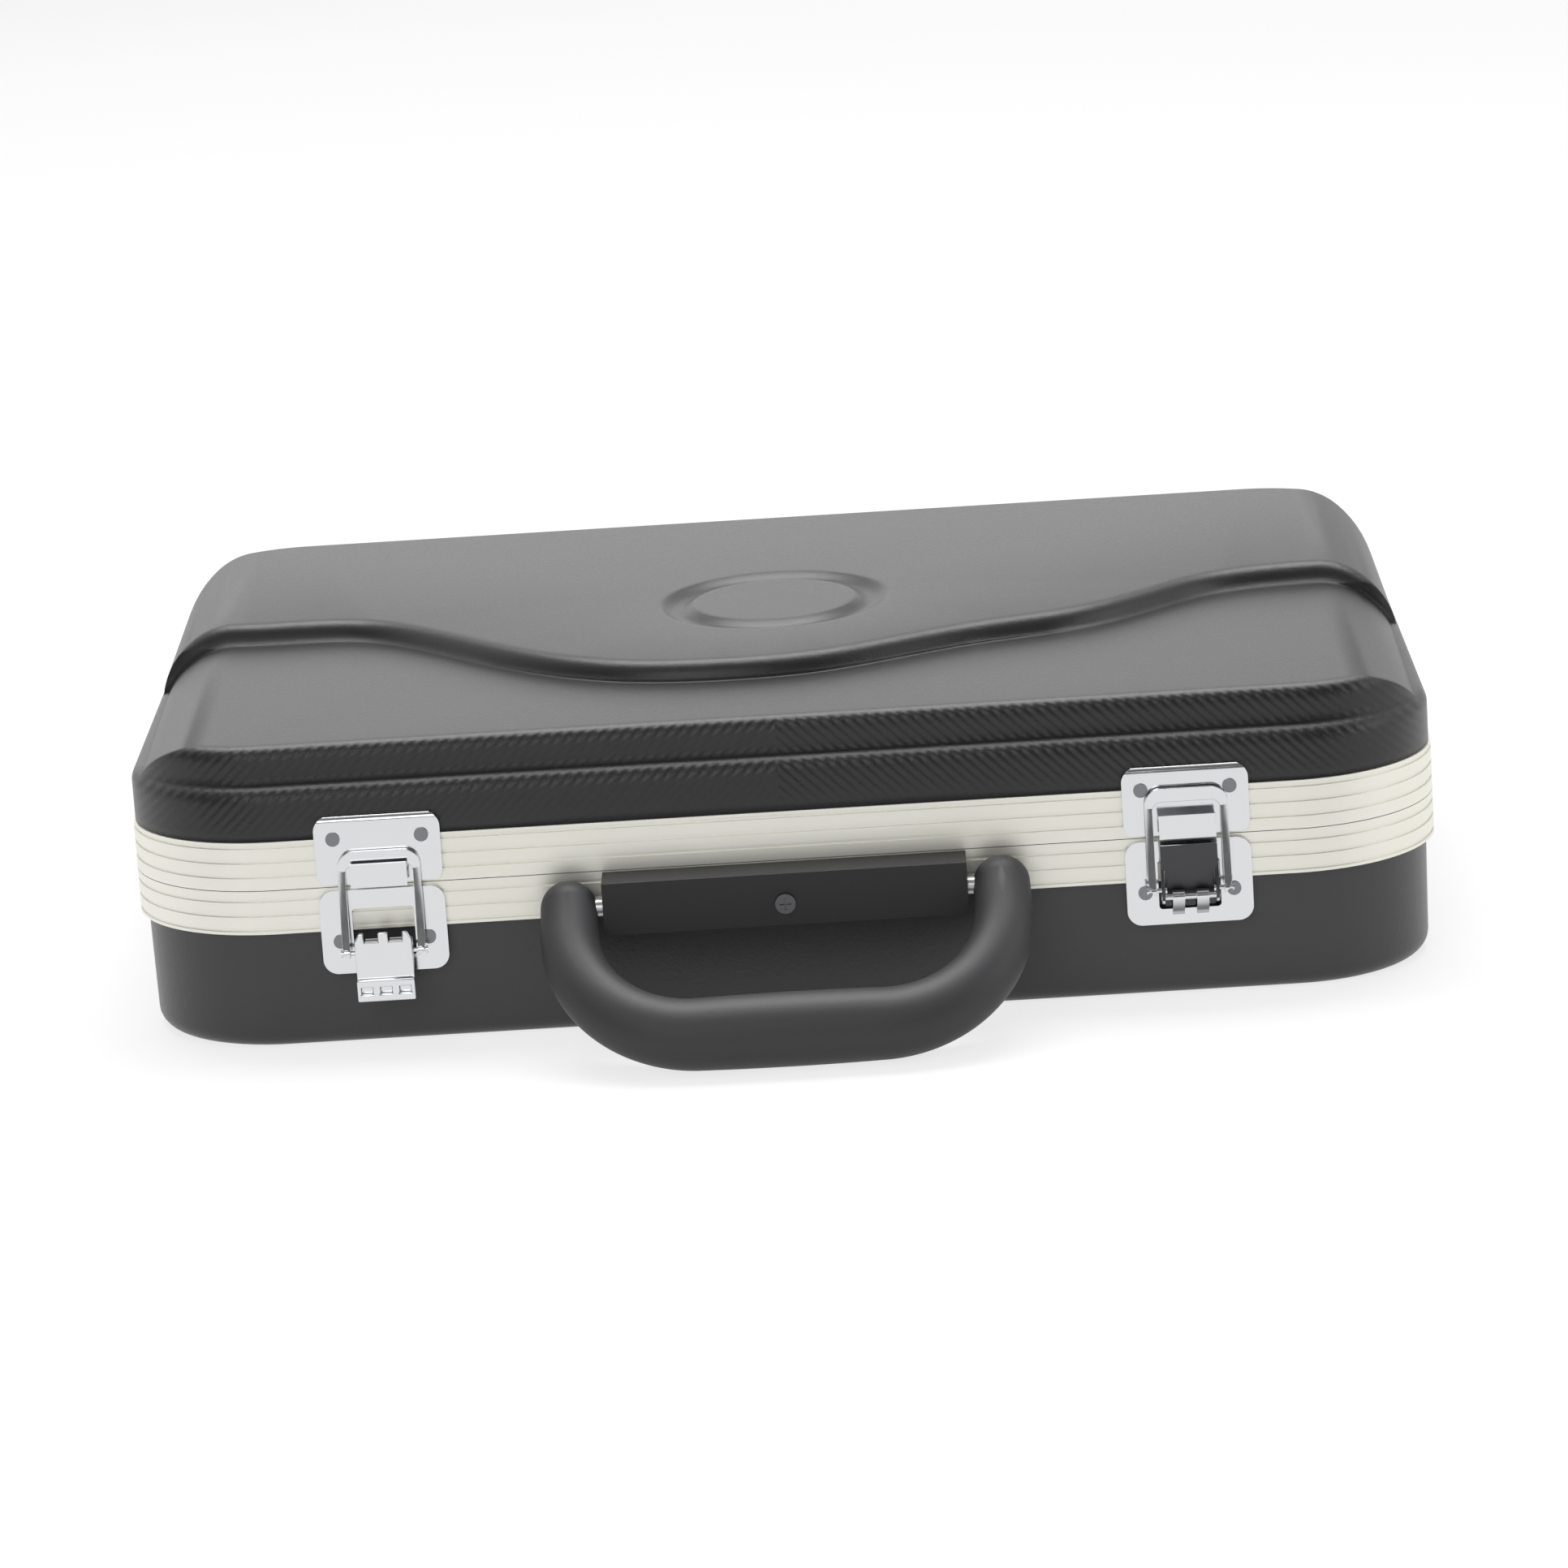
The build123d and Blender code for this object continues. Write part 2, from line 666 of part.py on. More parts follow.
def lever(x, turn):
    half = lever_width / 2
    here = (x, pivot_out, -pivot_drop, turn)
    face = lever_face + lever_sheet
    lip_top = lever_lip_height - lever_reach
    with BuildPart() as arm:
        with BuildSketch(side_plane(*here)):
            with Locations((lever_face + lever_sheet / 2, (lever_top - lever_reach) / 2)):
                Rectangle(lever_sheet, lever_top + lever_reach)
            with Locations((face + lever_lip_depth / 2, (lip_top - lever_reach) / 2)):
                Rectangle(lever_lip_depth, lever_lip_height)
        extrude(amount=half, both=True)
        for sign in (-1, 1):
            wall_x = x + sign * (half - lever_sheet / 2)
            with BuildSketch(side_plane(wall_x, *here[1:])):
                Polygon(
                    (face, lever_top - 1.0),
                    (-0.5 * crank, 0.8 * crank),
                    (-0.8 * crank, 0.2 * crank),
                    (-0.8 * crank, -1.3 * crank),
                    (-0.4 * crank, -1.8 * crank),
                    (face, -4.0 * crank),
                    align=None,
                )
            extrude(amount=lever_sheet / 2, both=True)
        with BuildSketch(face_plane(*here)) as outline:
            Polygon(
                (-half + lever_taper, lever_top),
                (-half, lever_top - 2 * lever_taper),
                (-half, -lever_reach),
                (half, -lever_reach),
                (half, lever_top - 2 * lever_taper),
                (half - lever_taper, lever_top),
                align=None,
            )
        extrude(amount=2 * pivot_out, both=True, mode=Mode.INTERSECT)
        notch = knuckle_width + 2 * knuckle_gap
        with BuildSketch(face_plane(*here)):
            with Locations((-knuckle_spacing / 2, lever_top), (knuckle_spacing / 2, lever_top)):
                Rectangle(notch, 2 * (lever_top - lever_notch))
        extrude(amount=2 * pivot_out, both=True, mode=Mode.SUBTRACT)
        with BuildSketch(face_plane(*here).offset(face + lever_lip_depth)):
            slot_v = lip_top - lever_lip_height / 2
            pitch = lever_width / 3
            with Locations((-pitch, slot_v), (0, slot_v), (pitch, slot_v)):
                Rectangle(lever_slot_width, lever_slot_height)
        extrude(amount=-lever_lip_depth, mode=Mode.SUBTRACT)
        with BuildSketch(side_plane(*here)):
            Circle(lever_pin_radius + running_gap)
            with Locations((0, -crank)):
                Circle(bail_pin_radius + running_gap)
        extrude(amount=lever_width, both=True, mode=Mode.SUBTRACT)
    return arm.part


def bail(x, out, rise):
    """Stamped bail standing on its pin at (out, rise): leg, bar, eyes."""
    here = (x, out, rise, 0)
    lean = bar_out - pivot_out
    top = bail_top + pivot_drop + crank
    half = bail_thickness / 2
    window = bail_width - 2 * bail_leg
    with BuildPart() as frame:
        with BuildSketch(side_plane(*here)):
            Circle(bail_eye_radius)
            Polygon(
                (lean - half, top),
                (lean + half, top),
                (lean + half, top - bail_bar - 1.5),
                (0.8 * bail_eye_radius, 1.0),
                (-0.8 * bail_eye_radius, 1.0),
                (lean - half, top - bail_bar - 2.5),
                align=None,
            )
        extrude(amount=bail_width / 2, both=True)
        with BuildSketch(face_plane(*here)) as outline:
            with Locations((0, (top - bail_eye_radius) / 2)):
                Rectangle(bail_width, top + bail_eye_radius)
            fillet(outline.vertices().group_by(Axis.Z)[-1], bail_corner)
        extrude(amount=2 * bail_width, both=True, mode=Mode.INTERSECT)
        with BuildSketch(face_plane(*here)) as inside:
            with Locations((0, (top - bail_bar - 2 * bail_eye_radius) / 2)):
                Rectangle(window, top - bail_bar + 2 * bail_eye_radius)
            fillet(inside.vertices().group_by(Axis.Z)[-1], bail_corner - bail_leg)
        extrude(amount=2 * bail_width, both=True, mode=Mode.SUBTRACT)
        with BuildSketch(side_plane(*here)):
            Circle(bail_pin_radius + running_gap)
        extrude(amount=bail_width, both=True, mode=Mode.SUBTRACT)
    return frame.part


def bail_pins(x, out, rise):
    """Two stub pins, each through one lever wall and one bail leg, with a head at both ends."""
    inside = lever_width / 2 - lever_sheet - running_gap
    outside = bail_width / 2 + running_gap
    with BuildPart() as pins:
        for sign in (-1, 1):
            middle = x + sign * (inside + outside) / 2
            with BuildSketch(side_plane(middle, out, rise, 0)):
                Circle(bail_pin_radius)
            extrude(amount=(outside - inside) / 2 + bail_pin_head_height, both=True)
            for start in (inside - bail_pin_head_height / 2, outside + bail_pin_head_height / 2):
                with BuildSketch(side_plane(x + sign * start, out, rise, 0)):
                    Circle(bail_pin_head)
                extrude(amount=bail_pin_head_height / 2, both=True)
    return pins.part


for side, (x, turn, crank_pin) in sides.items():
    save(strike_plate(x), f"{side}_strike_plate")
    save(latch_base(x), f"{side}_latch_base")
    save(lever(x, turn), f"{side}_lever")
    save(bail(x, *crank_pin), f"{side}_bail")
    save(bail_pins(x, *crank_pin), f"{side}_bail_pins")
    with BuildPart() as lever_pin:
        with BuildSketch(side_plane(x, pivot_out, -pivot_drop, 0)):
            Circle(lever_pin_radius)
        extrude(amount=lever_width / 2 + 2 * running_gap, both=True)
    save(lever_pin.part, f"{side}_lever_pin")

# ---------------------------------------------------------------- handle
pivot_v = handle_pivot_z - joint_height
arm_radius = handle_arm / 2
arm_x = bracket_width / 2 + handle_gap + arm_radius
grip_radius = handle_grip / 2
swell_radius = (arm_radius + 3 * grip_radius) / 4
grip_sections = [
    (0.0, arm_radius),
    (0.3, swell_radius),
    (0.5, grip_radius),
    (0.7, swell_radius),
    (1.0, arm_radius),
]
pin_middle = (bracket_width / 2 - handle_pin_in_bracket + arm_x) / 2
pin_half = (arm_x - bracket_width / 2 + handle_pin_in_bracket) / 2
handle_sheet = Plane(
    origin=(0, front_y - handle_pivot_out, handle_pivot_z),
    x_dir=(1, 0, 0),
    z_dir=(0, -sin(radians(handle_droop)), cos(radians(handle_droop))),
)


def pin_pair(radius, half):
    with BuildPart() as pins:
        for sign in (-1, 1):
            with BuildSketch(side_plane(sign * pin_middle, handle_pivot_out, pivot_v, 0)):
                Circle(radius)
            extrude(amount=half, both=True)
    return pins.part


with BuildPart() as handle_bracket:
    with BuildSketch(side_plane(0, 0, 0, 0)) as profile:
        with Locations((bracket_depth / 2, -bracket_top - bracket_height / 2)):
            Rectangle(bracket_depth, bracket_height)
        front_corners = profile.vertices().group_by(Axis.Y)[0]
        fillet(front_corners.sort_by(Axis.Z)[-1], bracket_nose_radius)
        fillet(profile.vertices().group_by(Axis.Y)[0].sort_by(Axis.Z)[0], 2.0)
    extrude(amount=bracket_width / 2, both=True)
    add(pin_pair(handle_pin_radius + running_gap, pin_half), mode=Mode.SUBTRACT)
    add(screw_hole, mode=Mode.SUBTRACT)
save(handle_bracket.part, "handle_bracket")
save(pin_pair(handle_pin_radius, pin_half), "handle_pins")

with BuildPart() as handle:
    with BuildLine(handle_sheet) as centre_line:
        corner_start = handle_corner - handle_reach
        left_arm = Line((-arm_x, 0), (-arm_x, corner_start))
        left_bend = JernArc(left_arm @ 1, left_arm % 1, handle_corner, 90)
        grip_line = PolarLine(left_bend @ 1, 2 * (arm_x - handle_corner), direction=left_bend % 1)
        right_bend = JernArc(grip_line @ 1, grip_line % 1, handle_corner, 90)
        PolarLine(right_bend @ 1, -corner_start, direction=right_bend % 1)
    path = centre_line.wires()[0]
    for place, radius in grip_sections:
        with BuildSketch(Plane(origin=path @ place, x_dir=handle_sheet.z_dir, z_dir=path % place)):
            Circle(radius)
    sweep(path=path, multisection=True)
    for sign in (-1, 1):
        with Locations(handle_sheet.location * Location((sign * arm_x, 0, 0))):
            Sphere(arm_radius)
    add(pin_pair(handle_pin_radius + running_gap, pin_half), mode=Mode.SUBTRACT)
save(handle.part, "handle")
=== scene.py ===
import math

import bmesh
import bpy
from mathutils import Matrix, Vector


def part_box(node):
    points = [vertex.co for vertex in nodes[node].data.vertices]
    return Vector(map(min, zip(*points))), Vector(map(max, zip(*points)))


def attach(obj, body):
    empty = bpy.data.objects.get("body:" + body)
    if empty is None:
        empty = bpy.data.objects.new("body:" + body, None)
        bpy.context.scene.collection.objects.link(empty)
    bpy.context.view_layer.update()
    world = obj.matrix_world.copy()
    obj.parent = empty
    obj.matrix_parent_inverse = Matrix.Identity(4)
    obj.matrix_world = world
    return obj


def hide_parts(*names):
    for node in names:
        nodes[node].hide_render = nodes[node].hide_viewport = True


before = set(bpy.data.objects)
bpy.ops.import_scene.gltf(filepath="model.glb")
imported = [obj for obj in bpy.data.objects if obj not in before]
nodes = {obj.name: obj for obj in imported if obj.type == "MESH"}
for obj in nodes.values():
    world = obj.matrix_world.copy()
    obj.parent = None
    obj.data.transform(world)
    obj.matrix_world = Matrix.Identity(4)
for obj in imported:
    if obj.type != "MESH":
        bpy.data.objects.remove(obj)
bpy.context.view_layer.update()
scene = bpy.context.scene
MM = 0.001

# ------------------------------------------------------------------ Lid and tray shells
# The two halves of the case are injection moulded in black ABS. The moulded skin is satin, and
# a fine diagonal twill is etched in the mould, which shows where light grazes the edges.
case_low, case_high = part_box("lower_valance")
case_length = case_high.x - case_low.x
case_depth = case_high.y - case_low.y


def srgb(code):
    """Linear colour of an sRGB hex value."""
    channels = [int(code[i : i + 2], 16) / 255 for i in (1, 3, 5)]
    linear = [c / 12.92 if c <= 0.04045 else ((c + 0.055) / 1.055) ** 2.4 for c in channels]
    return (*linear, 1.0)


def node(material, kind, settings=None, **links):
    """Adds a node, sets its fields and sockets, and links named sockets from other sockets."""
    made = material.node_tree.nodes.new(kind)
    for key, value in (settings or {}).items():
        if key in made.inputs:
            made.inputs[key].default_value = value
        else:
            setattr(made, key, value)
    for key, source in links.items():
        index = key.replace("_", " ")
        target = made.inputs[int(key[2:])] if key.startswith("in") else made.inputs[index]
        material.node_tree.links.new(source, target)
    return made


def new_material(name):
    """An empty node material and its output node."""
    material = bpy.data.materials.new(name)
    material.use_nodes = True
    material.node_tree.nodes.clear()
    return material, node(material, "ShaderNodeOutputMaterial")


def finish_with(piece, material):
    """Gives a piece one material all over."""
    piece.data.materials.clear()
    piece.data.materials.append(material)
    for polygon in piece.data.polygons:
        polygon.material_index = 0


def smooth_copy(name, source, merge=0.00002, sharp=30.0):
    """A merged copy of a CAD node's mesh with soft shading inside its sharp edges."""
    mesh = bpy.data.meshes.new(name)
    shape = bmesh.new()
    shape.from_mesh(nodes[source].data)
    bmesh.ops.remove_doubles(shape, verts=shape.verts, dist=merge)
    bmesh.ops.dissolve_degenerate(shape, dist=merge / 2, edges=shape.edges)
    bmesh.ops.recalc_face_normals(shape, faces=shape.faces)
    for face in shape.faces:
        face.smooth = True
    for edge in shape.edges:
        edge.smooth = edge.calc_face_angle(math.pi) < math.radians(sharp)
    shape.to_mesh(mesh)
    shape.free()
    piece = bpy.data.objects.new(name, mesh)
    scene.collection.objects.link(piece)
    return piece


# Black ABS, injection moulded: a satin skin with fine grain. The twill etched in the mould only
# shows on the lid's upright faces and rounded edges, where light grazes it.
twill_pitch = 3.0 * MM
grain_size = 0.9 * MM
mottle_size = 45 * MM
crease_radius = 3.2 * MM
twill_top = 82.6 * MM
twill_fade = 6 * MM
rim_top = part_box("upper_valance")[1].z


def moulded_skin(name, dark, light):
    """Satin black ABS between two tones."""
    material, output = new_material(name)
    place = node(material, "ShaderNodeTexCoord")
    at = node(material, "ShaderNodeSeparateXYZ", Vector=place.outputs["Object"])
    facing = node(material, "ShaderNodeNewGeometry")
    tilt = node(material, "ShaderNodeSeparateXYZ", Vector=facing.outputs["Normal"])
    across = node(material, "ShaderNodeMath", {"operation": "ABSOLUTE"}, in0=at.outputs["X"])
    diagonal = node(
        material, "ShaderNodeMath", {"operation": "ADD"}, in0=across.outputs[0], in1=at.outputs["Z"]
    )
    phase = node(material, "ShaderNodeMath", {"operation": "MULTIPLY"}, in0=diagonal.outputs[0])
    phase.inputs[1].default_value = 2 * math.pi / twill_pitch
    twill = node(material, "ShaderNodeMath", {"operation": "SINE"}, in0=phase.outputs[0])
    upright = node(
        material,
        "ShaderNodeMapRange",
        {"From Min": 0.97, "From Max": 0.75, "To Max": 0.8},
        Value=tilt.outputs["Z"],
    )
    above_rim = node(
        material,
        "ShaderNodeMapRange",
        {"From Min": rim_top, "From Max": rim_top + twill_fade},
        Value=at.outputs["Z"],
    )
    below_top = node(
        material,
        "ShaderNodeMapRange",
        {"From Min": twill_top, "From Max": twill_top - twill_fade / 3},
        Value=at.outputs["Z"],
    )
    band = node(
        material, "ShaderNodeMath", {"operation": "MULTIPLY"}, in0=above_rim.outputs[0], in1=below_top.outputs[0]
    )
    amount = node(
        material, "ShaderNodeMath", {"operation": "MULTIPLY"}, in0=upright.outputs[0], in1=band.outputs[0]
    )
    grain = node(
        material,
        "ShaderNodeTexNoise",
        {"Scale": 1 / grain_size, "Detail": 3.0, "Roughness": 0.6},
        Vector=place.outputs["Object"],
    )
    height = node(
        material,
        "ShaderNodeMath",
        {"operation": "MULTIPLY_ADD"},
        in0=twill.outputs[0],
        in1=amount.outputs[0],
        in2=grain.outputs["Fac"],
    )
    creases = node(material, "ShaderNodeBevel", {"samples": 6, "Radius": crease_radius})
    relief = node(
        material,
        "ShaderNodeBump",
        {"Strength": 0.6, "Distance": 0.12 * MM},
        Height=height.outputs[0],
        Normal=creases.outputs[0],
    )
    mottle = node(
        material, "ShaderNodeTexNoise", {"Scale": 1 / mottle_size, "Detail": 2.0}, Vector=place.outputs["Object"]
    )
    tone = node(material, "ShaderNodeMix", {"data_type": "RGBA"}, Factor=mottle.outputs["Fac"])
    tone.inputs[6].default_value = srgb(dark)
    tone.inputs[7].default_value = srgb(light)
    rough = node(material, "ShaderNodeMapRange", {"To Min": 0.32, "To Max": 0.42}, Value=grain.outputs["Fac"])
    skin = node(
        material,
        "ShaderNodeBsdfPrincipled",
        {"IOR": 1.53},
        Base_Color=tone.outputs[2],
        Roughness=rough.outputs[0],
        Normal=relief.outputs[0],
    )
    material.node_tree.links.new(skin.outputs[0], output.inputs["Surface"])
    return material


# Both halves are the same black ABS in two copies. The tray's tones are painted lighter than the lid's: painted
# reflection, standing in for the pale floor mirrored in the tray.
lid_skin = moulded_skin("Moulded black ABS, lid", "#131314", "#19191b")
tray_skin_painted_reflection = moulded_skin("Moulded black ABS, tray", "#343435", "#3e3e3f")
for name, source, body, skin in (
    ("lid_moulding", "lid_shell", "lid", lid_skin),
    ("tray_moulding", "bottom_shell", "case_bottom", tray_skin_painted_reflection),
):
    moulding = smooth_copy(name, source)
    finish_with(moulding, skin)
    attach(moulding, body)
    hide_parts(source)

# ------------------------------------------------------------------ Aluminium rim
# An extruded aluminium profile is bent round each half. It is satin anodised, and three grooves
# run along it. Its tone drifts at random between white and a slightly warmer white.
rim_metal, output = new_material("Satin anodised aluminium")
place = node(rim_metal, "ShaderNodeTexCoord")
stretch = node(rim_metal, "ShaderNodeMapping", {"Scale": (60.0, 60.0, 4000.0)}, Vector=place.outputs["Object"])
brush = node(rim_metal, "ShaderNodeTexNoise", {"Scale": 1.0, "Detail": 4.0}, Vector=stretch.outputs[0])
brush_bump = node(rim_metal, "ShaderNodeBump", {"Strength": 0.12, "Distance": 0.03 * MM}, Height=brush.outputs["Fac"])
cloud = node(rim_metal, "ShaderNodeTexNoise", {"Scale": 1 / (60 * MM), "Detail": 2.0}, Vector=place.outputs["Object"])
rim_tone = node(rim_metal, "ShaderNodeMix", {"data_type": "RGBA"}, Factor=cloud.outputs["Fac"])
rim_tone.inputs[6].default_value = srgb("#f2f1ea")
rim_tone.inputs[7].default_value = srgb("#eae8dc")
rim_rough = node(rim_metal, "ShaderNodeMapRange", {"To Min": 0.38, "To Max": 0.5}, Value=brush.outputs["Fac"])
rim_shader = node(
    rim_metal,
    "ShaderNodeBsdfPrincipled",
    {"Metallic": 0.85},
    Base_Color=rim_tone.outputs[2],
    Roughness=rim_rough.outputs[0],
    Normal=brush_bump.outputs[0],
)
rim_metal.node_tree.links.new(rim_shader.outputs[0], output.inputs["Surface"])
for rim in ("lower_valance", "upper_valance"):
    finish_with(nodes[rim], rim_metal)

# ------------------------------------------------------------------ Draw latches
# Each latch is stamped and folded from steel sheet, then nickel plated and chromed: a plate with
# its lever on the tray, a plate with a hooked lip on the lid, and a bail between them.
chrome, output = new_material("Chromed steel")
place = node(chrome, "ShaderNodeTexCoord")
dust = node(chrome, "ShaderNodeTexNoise", {"Scale": 1 / (6 * MM), "Detail": 5.0}, Vector=place.outputs["Object"])
chrome_rough = node(chrome, "ShaderNodeMapRange", {"To Min": 0.08, "To Max": 0.2}, Value=dust.outputs["Fac"])
chrome_shader = node(
    chrome,
    "ShaderNodeBsdfPrincipled",
    {"Base Color": srgb("#d6d7d9"), "Metallic": 1.0},
    Roughness=chrome_rough.outputs[0],
)
chrome.node_tree.links.new(chrome_shader.outputs[0], output.inputs["Surface"])

# The lever's inner face is painted dark grey and dull: painted shade, standing in for the shade in the lever's
# hollow.
lever_painted_shade, output = new_material("Lever inner face, painted shade")
lever_shade_shader = node(
    lever_painted_shade,
    "ShaderNodeBsdfPrincipled",
    {"Base Color": srgb("#4c4c4f"), "Metallic": 1.0, "Roughness": 0.45},
)
lever_painted_shade.node_tree.links.new(lever_shade_shader.outputs[0], output.inputs["Surface"])

# Nickel plated rivets: darker and softer than the chromed sheet round them.
rivet_nickel, output = new_material("Nickel plated rivets")
rivet_shader = node(
    rivet_nickel,
    "ShaderNodeBsdfPrincipled",
    {"Base Color": srgb("#808084"), "Metallic": 1.0, "Roughness": 0.3},
)
rivet_nickel.node_tree.links.new(rivet_shader.outputs[0], output.inputs["Surface"])
edge_radius = 0.3 * MM
latch_parts = ("strike_plate", "latch_base", "lever", "bail", "bail_pins", "lever_pin")
riders = {"strike_plate": "lid", "latch_base": "case_bottom", "lever_pin": "case_bottom"}
for side in ("left", "right"):
    for part in latch_parts:
        source = f"{side}_{part}"
        if part in ("strike_plate", "latch_base", "lever", "bail"):
            piece = smooth_copy(f"{source}_stamping", source, sharp=25.0)
            rounding = piece.modifiers.new("Rolled edges", "BEVEL")
            rounding.width = edge_radius
            rounding.segments = 2
            rounding.limit_method = "ANGLE"
            rounding.angle_limit = math.radians(25)
            rounding.harden_normals = False
            finish_with(piece, chrome)
            # The lever's inner face takes the painted shade. It points into the case on the closed lever and outwards
            # on the open one.
            if part == "lever":
                inward = 1 if side == "left" else -1
                piece.data.materials.append(lever_painted_shade)
                for polygon in piece.data.polygons:
                    if inward * polygon.normal.y > 0.8:
                        polygon.material_index = 1
            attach(piece, riders.get(part, source))
            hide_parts(source)
        else:
            finish_with(nodes[source], chrome)
for rivets in ("latch_base_rivets", "strike_rivets"):
    finish_with(nodes[rivets], rivet_nickel)

# ------------------------------------------------------------------ Hinges, pins and screw
# The hinge leaves, pins, rivets and the handle's pins are zinc plated steel, duller than the chrome.
plated, output = new_material("Zinc plated steel")
place = node(plated, "ShaderNodeTexCoord")
spangle = node(plated, "ShaderNodeTexNoise", {"Scale": 1 / (2 * MM), "Detail": 3.0}, Vector=place.outputs["Object"])
plated_rough = node(plated, "ShaderNodeMapRange", {"To Min": 0.26, "To Max": 0.4}, Value=spangle.outputs["Fac"])
plated_shader = node(
    plated,
    "ShaderNodeBsdfPrincipled",
    {"Base Color": srgb("#c3c4c4"), "Metallic": 1.0},
    Roughness=plated_rough.outputs[0],
)
plated.node_tree.links.new(plated_shader.outputs[0], output.inputs["Surface"])
steel_names = [f"{side}_hinge_{part}" for side in ("left", "right") for part in ("lower_leaf", "upper_leaf", "pin")]
for name in (*steel_names, "hinge_lower_rivets", "hinge_upper_rivets", "handle_pins"):
    finish_with(nodes[name], plated)

# The handle's screw is blackened steel, so only its rim catches light.
black_steel, output = new_material("Blackened steel")
black_shader = node(
    black_steel,
    "ShaderNodeBsdfPrincipled",
    {"Base Color": srgb("#5c5c5e"), "Metallic": 1.0, "Roughness": 0.35},
)
black_steel.node_tree.links.new(black_shader.outputs[0], output.inputs["Surface"])
finish_with(nodes["handle_screw"], black_steel)

# ------------------------------------------------------------------ Handle and bracket
# The handle is one solid moulding in black plastic with a satin skin, turned on two steel pins in
# a moulded bracket that one screw holds to the tray.
pore_size = 0.7 * MM


def satin_plastic(name, colour):
    """Moulded black nylon with fine pores, duller than the case."""
    material, output = new_material(name)
    place = node(material, "ShaderNodeTexCoord")
    pores = node(
        material, "ShaderNodeTexNoise", {"Scale": 1 / pore_size, "Detail": 3.0}, Vector=place.outputs["Object"]
    )
    bump = node(
        material, "ShaderNodeBump", {"Strength": 0.25, "Distance": 0.05 * MM}, Height=pores.outputs["Fac"]
    )
    rough = node(material, "ShaderNodeMapRange", {"To Min": 0.5, "To Max": 0.6}, Value=pores.outputs["Fac"])
    shader = node(
        material,
        "ShaderNodeBsdfPrincipled",
        {"Base Color": srgb(colour), "IOR": 1.53},
        Roughness=rough.outputs[0],
        Normal=bump.outputs[0],
    )
    material.node_tree.links.new(shader.outputs[0], output.inputs["Surface"])
    return material


# The handle and bracket are the same black nylon in two copies. The handle's tone is painted lighter than the
# bracket's: painted light, standing in for the light falling on the handle.
grip_plastic_painted_light = satin_plastic("Moulded black nylon, handle", "#323234")
bracket_plastic = satin_plastic("Moulded black nylon, bracket", "#18181a")
for name, source, body, plastic in (
    ("handle_moulding", "handle", "handle", grip_plastic_painted_light),
    ("bracket_moulding", "handle_bracket", "case_bottom", bracket_plastic),
):
    piece = smooth_copy(name, source)
    finish_with(piece, plastic)
    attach(piece, body)
    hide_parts(source)

# ------------------------------------------------------------------ Plush insert and lid lining
# Inside, a moulded foam bed with a well for each joint of the instrument is covered in short pile
# plush, and a padded lining of the same plush fills the lid.
plush, output = new_material("Short pile plush")
place = node(plush, "ShaderNodeTexCoord")
pile_noise = node(plush, "ShaderNodeTexNoise", {"Scale": 1 / (1.6 * MM), "Detail": 4.0, "Roughness": 0.7}, Vector=place.outputs["Object"])
shading = node(plush, "ShaderNodeTexNoise", {"Scale": 1 / (28 * MM), "Detail": 3.0}, Vector=place.outputs["Object"])
nap = node(plush, "ShaderNodeMath", {"operation": "MULTIPLY_ADD"}, in0=shading.outputs["Fac"])
nap.inputs[1].default_value = 0.7
plush.node_tree.links.new(pile_noise.outputs["Fac"], nap.inputs[2])
nap_half = node(plush, "ShaderNodeMapRange", {"From Min": 0.4, "From Max": 1.2}, Value=nap.outputs[0])
plush_tone = node(plush, "ShaderNodeMix", {"data_type": "RGBA"}, Factor=nap_half.outputs[0])
plush_tone.inputs[6].default_value = srgb("#242328")
plush_tone.inputs[7].default_value = srgb("#45434b")
plush_bump = node(plush, "ShaderNodeBump", {"Strength": 0.6, "Distance": 0.5 * MM}, Height=pile_noise.outputs["Fac"])
plush_shader = node(
    plush,
    "ShaderNodeBsdfPrincipled",
    {"Roughness": 0.95, "Sheen Weight": 0.5, "Sheen Roughness": 0.4, "Specular IOR Level": 0.2},
    Base_Color=plush_tone.outputs[2],
    Normal=plush_bump.outputs[0],
)
plush.node_tree.links.new(plush_shader.outputs[0], output.inputs["Surface"])
rim_round = 1.6 * MM
for name, source, body in (
    ("plush_bed", "bottom_insert", "case_bottom"),
    ("plush_lining", "lid_lining", "lid"),
):
    piece = smooth_copy(name, source, sharp=75.0)
    foam = bmesh.new()
    foam.from_mesh(piece.data)
    bmesh.ops.dissolve_limit(
        foam, angle_limit=math.radians(1.0), verts=foam.verts, edges=foam.edges
    )
    rims = [edge for edge in foam.edges if edge.calc_face_angle(0.0) > math.radians(60)]
    bmesh.ops.bevel(
        foam,
        geom=rims,
        offset=rim_round,
        segments=3,
        profile=0.5,
        affect="EDGES",
        material=-1,
        clamp_overlap=True,
    )
    for face in foam.faces:
        face.smooth = True
    foam.to_mesh(piece.data)
    foam.free()
    finish_with(piece, plush)
    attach(piece, body)
    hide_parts(source)

